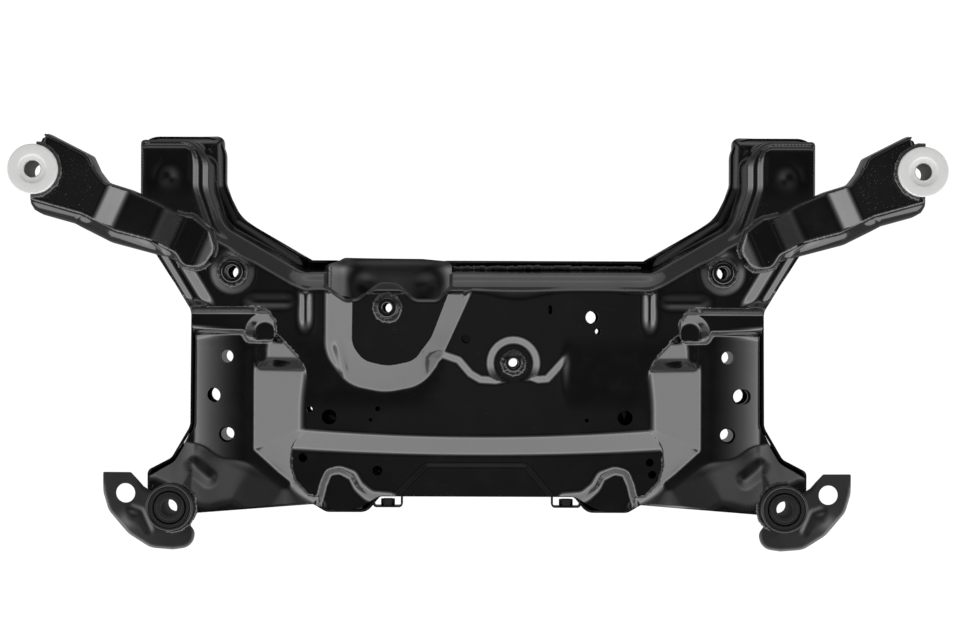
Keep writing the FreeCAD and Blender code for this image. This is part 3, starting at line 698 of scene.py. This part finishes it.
def legFlange(side):
    corners = [(189.8, 90.2, 20), (189, 78, 2), (262, 122, 10), (288, 165, 10), (288, 205, 10),
               (349, 209, 2), (350, 220.2, 7), (274, 221.6, 8), (272.6, 168, 30), (256, 134.3, 40)]
    outer = np.array((legEdge + [(150, 60), (450, 60), (450, 220.2)])[::-1], float)

    def flangeHeight(x, y):
        inside = np.maximum(-signedDistance(x, y, outer), 0)
        ridge = 3.2 * ramp(inside - 2, 7, 2) - 1.6 * ramp(inside - 9.5, 2, 0.6)
        return 55 + ridge + 3 * ramp(inside - 12, 8, 2) - 0.8 * np.exp(-(inside / 0.8) ** 2)
    piece = openSheet("legFlange", roundOutline(corners[::-1], 2, 3), flangeHeight, 1.3, 1.6)
    mirrorIf(piece, side)
    finishPiece(piece, glossPaint)


# Mount arms: share of the way from root to end, offset in widths, radius
arm = {"width": 56, "upperDepth": 24, "roll": 3.0}
armRoot, armEnd = Vector((299, 106)), Vector((frontMount["x"], frontMount["y"]))
armRows = [(0.955, -0.556, 3), (1.021, 0.387, 2), (1.027, 0.692, 1), (0.749, 0.648, 4),
           (0.677, 0.447, 8), (0.602, 0.317, 10), (0.468, 0.372, 14), (0.296, 0.382, 14),
           (0.167, 0.349, 8), (0.063, 0.42, 11), (-0.06, 0.31, 14), (-0.14, 0.02, 16),
           (-0.118, -0.40, 16), (0.0, -0.53, 12), (0.078, -0.366, 8), (0.242, -0.345, 14),
           (0.438, -0.447, 16), (0.642, -0.405, 16)]
armFlares = [-1.5] * 13 + [-3, -7, -12, -13, -11]


def armPoint(share, offset):
    way = armEnd - armRoot
    across = Vector((-way.y, way.x)).normalized() * arm["width"] * offset
    return armRoot + way * share + across


armCorners = [(*armPoint(share, offset), radius) for share, offset, radius in armRows]


# Top skin of an arm: level runs joined by short slopes, with rolled edges
def armHeight(x, y):
    side = np.abs(x)
    run = (side - 299) * 0.912 + (y - 106) * 0.41
    z = 107 + 10 * ramp(run + 32, 22, 4) + 7.5 * ramp(run - 19, 23, 3)
    z += 8 * ramp(run - 42, 40, 6)
    z += 13.5 * ramp(run - 82, 20, 3) + 7 * ramp(run - 102, 98, 6)
    inside = np.maximum(-toCorners(side, y, armCorners), 0)
    roll = arm["roll"]
    z -= np.where(inside < roll, roll - np.sqrt(np.maximum(roll ** 2 - (roll - inside) ** 2, 0)), 0)
    return z


def mountArm(side):
    plan, flare = matchedOutlines(armCorners, insetCorners(armCorners, armFlares))
    edge = armHeight(plan[:, 0], plan[:, 1])
    skirt = [np.column_stack([plan + (flare - plan) * share, edge - arm["upperDepth"] * drop])
             for share, drop in ((0.12, 0.05), (0.35, 0.14), (0.68, 0.3), (0.9, 0.5), (1.0, 1.3))]
    cuts = [circleHole(frontMount["x"], frontMount["y"], frontMount["tubeRadius"])]
    inner = [plan + (plan.mean(0) - plan) * t for t in (0.01, 0.03, 0.06)]
    piece = pressedSheet("mountArm", plan, armHeight, skirt, [], cuts, inner, (), 2.0)
    mirrorIf(piece, side)
    finishPiece(piece, glossPaint, ["mount_arm_upper_" + sideName(side)])


def sideName(side):
    return "right" if side > 0 else "left"


def mirrorIf(piece, side):
    if side > 0:
        return
    makeActive(piece)
    bpy.ops.transform.mirror(orient_type="GLOBAL", constraint_axis=(True, False, False),
                             center_override=(0, 0, 0))
    bpy.ops.object.transform_apply(location=True, rotation=True, scale=True)
    fixNormals(piece)


# Upright flange along the front of each arm's end
flangeStrip = {"thickness": 2.2, "low": 150, "high": 160, "bevel": 0.5}


def armFlange(side):
    spots = ((1.022, 0.67), (0.9, 0.662), (0.765, 0.64), (0.735, 0.6), (0.7, 0.5))
    path = np.array([armPoint(*spot)[:] for spot in spots], float)
    along = np.gradient(path, axis=0)
    across = np.column_stack([-along[:, 1], along[:, 0]])
    across /= np.linalg.norm(across, axis=1)[:, None]
    half = across * flangeStrip["thickness"] / 2
    outline = np.vstack([path + half, (path - half)[::-1]])
    count = len(outline)
    vertices = [(x, y, flangeStrip[level]) for level in ("low", "high") for x, y in outline]
    faces = [tuple(range(count))[::-1], tuple(range(count, 2 * count))]
    faces += [(i, (i + 1) % count, count + (i + 1) % count, count + i) for i in range(count)]
    piece = meshObject("armFlange", vertices, faces)
    fixNormals(piece)
    bevel = piece.modifiers.new("edge", "BEVEL")
    bevel.width = flangeStrip["bevel"] * mm
    bevel.segments = 2
    bpy.ops.object.modifier_apply(modifier="edge")
    mirrorIf(piece, side)
    finishPiece(piece, glossPaint, smoothAngle=40)


# Turned pieces: a closed profile of radius and height, turned round an upright axis at x, y
def turned(name, profile, x, y, material, replaced):
    count = len(profile)
    ring = [(i, (i + 1) % count) for i in range(count)]
    piece = meshObject(name, [(r, 0, z) for r, z in profile], [], ring)
    makeActive(piece)
    turn = piece.modifiers.new("turn", "SCREW")
    turn.steps = turn.render_steps = 96
    turn.use_merge_vertices = True
    turn.merge_threshold = 0.00001
    bpy.ops.object.modifier_apply(modifier="turn")
    piece.location = (x * mm, y * mm, 0)
    bpy.ops.object.transform_apply(location=True)
    fixNormals(piece)
    finishPiece(piece, material, replaced, 35)


# Top edge of a ring from the inner radius r0 to the outer radius r1, both rounded
def roundedTop(r0, r1, top, radius, steps=5):
    turns = [math.pi / 2 * k / steps for k in range(steps + 1)]
    low = top - radius
    inner = [(r0 + radius - radius * math.cos(a), low + radius * math.sin(a)) for a in turns]
    outer = [(r1 - radius + radius * math.sin(a), low + radius * math.cos(a)) for a in turns]
    return inner + outer


def mountSizes(mount):
    return [mount[key] for key in ("y", "top", "bore", "sleeveRadius", "tubeBore", "tubeRadius")]


def frontMounts(side):
    y, top, bore, sleeve, tube, outer = mountSizes(frontMount)
    x, bottom = side * frontMount["x"], top - frontMount["height"]
    name, flange = sideName(side), frontMount["flangeRadius"]
    nylonProfile = [(9.2, top - 4), (9.2, top - 1.6), (13.2, top - 1.5), (14.2, top - 0.9)]
    nylonProfile += roundedTop(14.6, flange, top, 1.2)[3:]
    nylonProfile += [(flange, top - 6.4), (25.2, top - 7), (tube - 0.1, top - 7),
                     (tube - 0.1, bottom), (sleeve + 0.1, bottom), (sleeve + 0.1, top - 4)]
    sleeveProfile = [(bore, bottom), (bore, top - 2.6), (9.1, top - 2), (sleeve, top - 4.2),
                     (sleeve, bottom)]
    tubeProfile = [(tube, bottom), (tube, top - 7.4), (outer, top - 7.4), (outer, bottom)]
    turned("nylonBush", nylonProfile, x, y, nylon, ["front_mount_bush_" + name])
    turned("mountSleeve", sleeveProfile, x, y, bareSteel, ["front_mount_sleeve_" + name])
    turned("mountHousing", tubeProfile, x, y, glossPaint, ["front_mount_tube_" + name])


def rearMounts(side):
    y, top, bore, sleeve, tube, outer = mountSizes(rearMount)
    x, bottom = side * rearMount["x"], top - rearMount["height"]
    name = sideName(side)
    tubeProfile = [(tube, bottom)] + roundedTop(tube, outer, top, 1) + [(outer, bottom)]
    rubberProfile = [(sleeve + 0.1, bottom + 3), (tube - 0.1, bottom + 3), (tube - 0.1, top - 1.6),
                     (21, top - 1.0), (18.4, top - 1.2), (17.8, top - 2), (17.4, top - 7),
                     (16.6, top - 7), (16.2, top - 1.8), (15.4, top - 1.2),
                     (sleeve + 0.1, top - 1.4)]
    sleeveProfile = [(bore, bottom)] + roundedTop(bore, sleeve, top - 1, 0.8) + [(sleeve, bottom)]
    turned("rearHousing", tubeProfile, x, y, satinPaint, ["rear_mount_tube_" + name])
    turned("rubberBush", rubberProfile, x, y, rubber, ["rear_mount_rubber_" + name])
    turned("rearSleeve", sleeveProfile, x, y, darkSteel, ["rear_mount_sleeve_" + name])


def weldedBosses():
    rack, bore = bosses["rackBore"], bosses["bore"]
    rackProfile = [(rack, 90)] + roundedTop(rack, 11.6, 113, 1.5) + [(12.4, 108.5), (12.8, 90)]
    for side in (-1, 1):
        turned("rackBoss", rackProfile, side * bosses["rackX"], bosses["rackY"], glossPaint,
               ["rack_boss_" + sideName(side)])
    domeProfile = [(bore, 123)] + roundedTop(bore, 10.4, 129, 1.4) + [(10.8, 126.5), (14.5, 123)]
    turned("restrictorBoss", domeProfile, bosses["restrictorX"], bosses["restrictorY"], glossPaint,
           ["restrictor_boss"])
    plateProfile = [(bore, 99)] + roundedTop(bore, 9, 107, 1.2)
    plateProfile += [(9.4, 103.5), (14.4, 99.3), (14.4, 99)]
    turned("centreBoss", plateProfile, bosses["centreX"], bosses["centreY"], glossPaint,
           ["centre_boss"])


# Rear corner ears: corners are offsets from the mount, with radius
ear = {"height": 59.2, "holeX": 379.5, "holeY": -164, "holeRadius": 10.5, "rearRim": 4.0}
earRows = [(-22, -30, 10), (-19, -46, 14), (1.5, -49, 16), (26, -47, 24), (50, -32, 26),
           (71.5, -7, 20), (77.5, 13, 22), (77.5, 34.4, 1), (47.5, 34.4, 3), (39.5, 26, 5),
           (33.5, 19, 4), (0, 0, 1)]
earCorners = [(rearMount["x"] + dx, rearMount["y"] + dy, radius) for dx, dy, radius in earRows]


def earHeight(x, y):
    side = np.abs(x)
    inside = np.maximum(-toCorners(side, y, earCorners), 0)
    z = ear["height"] - 1.2 * (1 - ramp(inside - 0.2, 2, 0.6)) * ramp(-150 - y, 12, 4)
    width = 6 + 13 * ramp(-186 - y, 20, 6)
    z = z - 0.05 * knee(width - inside, 2) * ramp(-178 - y, 16, 5) - 0.07 * knee(side - 350, 6)
    z += 2.2 * np.exp(-(np.hypot(side - 374, y + 190) / 9) ** 2)
    z -= np.maximum(groove(side, y, (372, -181), (363, -184), 6, 1.8),
                    groove(side, y, (363, -184), (354, -203), 6, 1.8))
    return z


def cornerEar(side):
    plan, low = matchedOutlines(earCorners, insetCorners(earCorners, 0.01))
    edge = earHeight(plan[:, 0], plan[:, 1])
    rim = np.where(plan[:, 1] < -185, ear["rearRim"], sheet["thickness"] + 0.5)
    skirt = [np.column_stack([low, edge - rim * drop]) for drop in (0.4, 1.0)]
    hole = circleHole(ear["holeX"], ear["holeY"], ear["holeRadius"])
    tube = circleHole(rearMount["x"], rearMount["y"], rearMount["tubeRadius"])
    piece = pressedSheet("cornerEar", plan, earHeight, skirt, [hole], [tube], grid=1.8)
    mirrorIf(piece, side)
    finishPiece(piece, satinPaint, ["rear_bracket_" + sideName(side)], 45)


# Weld beads: a tube with weld ripples along x, y, z points
bead = {"step": 0.65, "ripple": 2.6, "wobble": 0.25, "around": 10}


def ripples(count, width):
    noise = [random.uniform(-1, 1) for _ in range(count)]
    return np.convolve(noise, np.ones(width) / width, "same")


def weldBead(path, radius):
    path, wobble, around = np.array(path, float), bead["wobble"], bead["around"]
    steps = np.concatenate([[0], np.cumsum(np.linalg.norm(np.diff(path, axis=0), axis=1))])
    stations = np.arange(0, steps[-1], bead["step"])
    line = np.column_stack([np.interp(stations, steps, path[:, k]) for k in range(3)])
    along = np.gradient(line, axis=0)
    along /= np.linalg.norm(along, axis=1)[:, None] + 1e-9
    across = np.column_stack([-along[:, 1], along[:, 0], 0 * along[:, 0]])
    wave = np.sin(stations / bead["ripple"] * 2 * math.pi)
    size = radius * (1.1 + 0.05 * wave + 1.6 * wobble * ripples(len(stations), 4))
    line = line + across * (ripples(len(stations), 9) * radius * 3 * wobble)[:, None]
    vertices, faces = [], []
    for i in range(len(stations)):
        lean = 0.25 * math.sin(stations[i] / bead["ripple"] * 2 * math.pi)
        for k in range(around):
            a = 2 * math.pi * k / around
            reach = size[i] * (1 + 0.7 * wobble * random.uniform(-1, 1))
            point = line[i] + across[i] * reach * math.cos(a) + along[i] * lean * math.sin(a)
            vertices.append((point[0], point[1], point[2] + reach * math.sin(a) * 0.75))
    for i in range(len(stations) - 1):
        for k in range(around):
            a, b = i * around + k, i * around + (k + 1) % around
            faces.append((a, b, b + around, a + around))
    faces.append(tuple(range(around))[::-1])
    faces.append(tuple(range(len(vertices) - around, len(vertices))))
    return vertices, faces


def arcPath(x, y, radius, start, stop, height):
    turns = np.radians(np.linspace(start, stop, 48))
    px, py = x + radius * np.cos(turns), y + radius * np.sin(turns)
    pz = height(px, py) if callable(height) else 0 * px + height
    return np.column_stack([px, py, pz])


def linePath(points, height):
    points = np.array(points, float)
    steps = np.concatenate([[0], np.cumsum(np.linalg.norm(np.diff(points[:, :2], axis=0), axis=1))])
    stations = np.linspace(0, steps[-1], max(4, int(steps[-1] / 2)))
    line = np.column_stack([np.interp(stations, steps, points[:, k]) for k in range(2)])
    pz = height(line[:, 0], line[:, 1]) if callable(height) else 0 * stations + height
    return np.column_stack([line, pz])


# The arm's outline round its root, as one run that starts at the gap left by the rest
def armRootPath(side):
    edge = roundOutline(insetCorners(armCorners, -1))
    share = ((edge - armRoot[:]) @ (armEnd - armRoot).normalized()) / (armEnd - armRoot).length
    root = edge[(share < 0.17) & (edge[:, 1] < 300)]
    turn = np.argmax(np.linalg.norm(np.diff(root, axis=0), axis=1)) + 1
    return np.roll(root, -turn, axis=0) * (side, 1)


# All beads as one piece and all spatter as another
def weldPieces():
    beads = []
    for side in (-1, 1):
        facing = 180 if side > 0 else 0
        front = side * frontMount["x"], frontMount["y"]
        rear = side * rearMount["x"], rearMount["y"]
        rack = side * bosses["rackX"], bosses["rackY"]
        heel = [armPoint(*spot)
                for spot in ((0.02, -0.55), (0.09, -0.39), (0.2, -0.37), (0.3, -0.4))]
        beads += [(arcPath(*front, 27.4, facing - 96, facing + 84, 157), 2.3),
                  (arcPath(*rear, 26.3, facing - 100, facing + 60, 87.5), 2.0),
                  (arcPath(*rear, 26.3, facing + 150, facing + 235, 60), 1.8),
                  (arcPath(*rack, 14.2, 0, 360, topHeight), 2.1),
                  (linePath(armRootPath(side), topHeight), 2.2),
                  (linePath([(side * p.x, p.y) for p in heel], topHeight), 2.2)]
    beads += [(arcPath(bosses["restrictorX"], bosses["restrictorY"], 13.6, 0, 360, 123.2), 2.3),
              (arcPath(bosses["centreX"], bosses["centreY"], 11.8, 0, 360, 101.6), 2.2),
              (linePath([(-26, 79.5), (60, 80.5), (176, 80)], 68), 2.0)]
    vertices, faces = [], []
    for path, radius in beads:
        first = len(vertices)
        some, rings = weldBead(path, radius)
        vertices += some
        faces += [tuple(first + i for i in ring) for ring in rings]
    piece = meshObject("weldBeads", vertices, faces)
    fixNormals(piece)
    finishPiece(piece, weldPaint, smoothAngle=60)
    spatter([path for path, _ in beads])


# Small beads thrown out round the welds and over the arms' ends, lying on the skins
def spatter(paths):
    corners = [(1, 1, 1), (1, -1, -1), (-1, 1, -1), (-1, -1, 1)]
    sides = [(0, 1, 2), (0, 3, 1), (0, 2, 3), (1, 3, 2)]
    spots = []
    for path in paths:
        for _ in range(int(len(path) * 0.9)):
            x, y, _z = path[random.randrange(len(path))]
            reach = abs(random.gauss(0, 7))
            turn = random.uniform(0, 2 * math.pi)
            spots.append((x + reach * math.cos(turn), y + reach * math.sin(turn),
                          random.uniform(0.25, 0.75)))
    for side in (-1, 1):
        for _ in range(230):
            p = armPoint(random.uniform(0.62, 0.98), random.uniform(-0.5, 0.62))
            spots.append((side * p.x, p.y, random.uniform(0.2, 0.7)))
    x, y, sizes = np.array(spots).T
    skin = topHeight(x, y)
    armSide = toCorners(np.abs(x), y, armCorners)
    z = np.where(armSide < 0, np.maximum(armHeight(x, y), skin), skin)
    onBox = signedDistance(x, y, shoulderOutline) < -1
    clear = np.hypot(np.abs(x) - frontMount["x"], y - frontMount["y"]) > 27
    keep = ((armSide < -1) | onBox) & clear
    vertices, faces = [], []
    for px, py, pz, radius in zip(x[keep], y[keep], z[keep], sizes[keep]):
        first = len(vertices)
        for a, b, c in corners:
            vertices.append((px + a * radius * 0.7, py + b * radius * 0.7, pz + c * radius * 0.6))
        faces += [tuple(first + i for i in face) for face in sides]
    piece = meshObject("weldSpatter", vertices, faces)
    finishPiece(piece, weldPaint, smoothAngle=180)


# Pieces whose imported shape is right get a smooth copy, drawn back where a skin covers it
drawnBack = {"tubFront": 0.215, "tubShare": 0.6, "seatDrop": 0.006, "armShare": 0.85}


def smoothCopy(node, material):
    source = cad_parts[node]
    piece = addObject(node + "Smooth", source.data.copy())
    piece.matrix_world = source.matrix_world
    makeActive(piece)
    bpy.ops.object.transform_apply(location=True, rotation=True, scale=True)
    front = drawnBack["tubFront"]
    way = (armEnd - armRoot).normalized()
    for vertex in piece.data.vertices:
        if "tub" in node and vertex.co.y > front:
            vertex.co.y = front + (vertex.co.y - front) * drawnBack["tubShare"]
        if ("spacer" in node or "ring" in node) and vertex.co.z > 0.05:
            vertex.co.z -= drawnBack["seatDrop"]
        if "arm_lower" in node:
            spot = Vector((abs(vertex.co.x) / mm, vertex.co.y / mm)) - armRoot
            middle = way * spot.dot(way)
            spot = armRoot + middle + (spot - middle) * drawnBack["armShare"]
            vertex.co.x, vertex.co.y = math.copysign(spot.x, vertex.co.x) * mm, spot.y * mm
    fixNormals(piece)
    finishPiece(piece, material, [node], 35)


upperPressing()
mouthTrough()
for side in (-1, 1):
    legFlange(side)
    mountArm(side)
    armFlange(side)
    cornerEar(side)
print("arms and ears ready")
for side in (-1, 1):
    frontMounts(side)
    rearMounts(side)
weldedBosses()
weldPieces()
print("mounts, bosses and welds ready")
smoothCopy("lower_shell", glossPaint)
for name in ("side_tub", "mount_arm_lower", "front_spacer", "rear_spacer", "pivot_ring",
             "rear_clip"):
    for side in (-1, 1):
        smoothCopy(name + "_" + sideName(side), glossPaint)
for side in (-1, 1):
    smoothCopy("rear_clip_nut_" + sideName(side), darkSteel)
print("smooth copies ready")


# White floor that lights the part from below but looks dull in its paint
def whiteStage():
    bpy.ops.mesh.primitive_plane_add(size=14, location=(0, 0, -0.0005))
    floor = bpy.context.object
    floor.name = "floor"
    material, shader = shaded("floorWhite", (0.9, 0.9, 0.9), 0.9)
    tree = material.node_tree
    rays = addNode(tree, "LightPath")
    share = addNode(tree, "Math", {1: 0.93}, operation="MULTIPLY")
    glow = addNode(tree, "Emission", {"Strength": 1.1})
    dull = addNode(tree, "Emission", {"Strength": 0.16})
    join, choose = addNode(tree, "MixShader"), addNode(tree, "MixShader")
    connect(tree, (rays, "Is Camera Ray", share, 0), (share, 0, join, "Fac"),
            (shader, "BSDF", choose, 1), (dull, "Emission", choose, 2),
            (rays, "Is Glossy Ray", choose, "Fac"), (choose, "Shader", join, 1),
            (glow, "Emission", join, 2),
            (join, "Shader", tree.nodes["Material Output"], "Surface"))
    floor.data.materials.append(material)


def lightRamp(tree, levels):
    colours = tree.nodes.new("ShaderNodeValToRGB")
    for position, _ in levels[1:-1]:
        colours.color_ramp.elements.new(position)
    for element, (position, level) in zip(colours.color_ramp.elements, levels):
        element.position = position
        element.color = (level, level, level, 1)
    return colours


# Bright panels low down at the sides and behind, gaps in the front corners, dark overhead
tent = {"rising": [(0.0, 0.6), (0.30, 0.68), (0.40, 0.72), (0.5, 1.0), (0.57, 0.85), (0.66, 0.43),
                   (0.78, 0.2), (0.9, 0.075), (0.965, 0.024), (0.985, 0.011), (0.994, 0.017),
                   (1.0, 0.046)],
        "around": [(0.0, 1.0), (0.35, 1.0), (0.56, 0.95), (0.66, 0.42), (0.76, 0.12), (0.88, 0.1),
                   (0.95, 0.26), (1.0, 0.4)],
        "strength": 2.35}


def tentWorld():
    world = bpy.data.worlds.new("tent")
    bpy.context.scene.world = world
    world.use_nodes = True
    tree = world.node_tree
    back = tree.nodes["Background"]
    place, split = addNode(tree, "TexCoord"), addNode(tree, "SeparateXYZ")
    rising, around = lightRamp(tree, tent["rising"]), lightRamp(tree, tent["around"])
    level, bearing = addNode(tree, "CombineXYZ"), addNode(tree, "SeparateXYZ")
    unit = addNode(tree, "VectorMath", operation="NORMALIZE")
    compass = addNode(tree, "MapRange", {"From Min": -1})
    high = addNode(tree, "MapRange", {"From Min": 0.97, "From Max": 0.82})
    blend = addNode(tree, "Mix", {"A": (0.8, 0.8, 0.8, 1)}, data_type="RGBA")
    product = addNode(tree, "VectorMath", operation="MULTIPLY")
    bright = addNode(tree, "VectorMath", {"Scale": tent["strength"]}, operation="SCALE")
    rays = addNode(tree, "LightPath")
    mix = addNode(tree, "Mix", {"B": (1, 1, 1, 1)}, data_type="RGBA")
    connect(tree, (place, "Generated", split, "Vector"), (split, "Z", rising, "Fac"),
            (split, "X", level, "X"), (split, "Y", level, "Y"), (level, "Vector", unit, 0),
            (unit, "Vector", bearing, "Vector"), (bearing, "Y", compass, "Value"),
            (compass, "Result", around, "Fac"), (split, "Z", high, "Value"),
            (high, "Result", blend, "Factor"), (around, "Color", blend, "B"),
            (rising, "Color", product, 0), (blend, "Result", product, 1),
            (product, "Vector", bright, 0), (rays, "Is Camera Ray", mix, "Factor"),
            (bright, "Vector", mix, "A"), (mix, "Result", back, "Color"))
    back.inputs["Strength"].default_value = 1


def photoCamera():
    data = bpy.data.cameras.new("camera")
    data.lens = 85
    data.sensor_width = 36
    camera = addObject("camera", data)
    camera.location = (0.00265, 0.024, 0.105 + 2.4)
    camera.rotation_euler = (0, 0, math.radians(0.2))
    bpy.context.scene.camera = camera


whiteStage()
tentWorld()
photoCamera()
bpy.context.scene.view_settings.view_transform = "Standard"
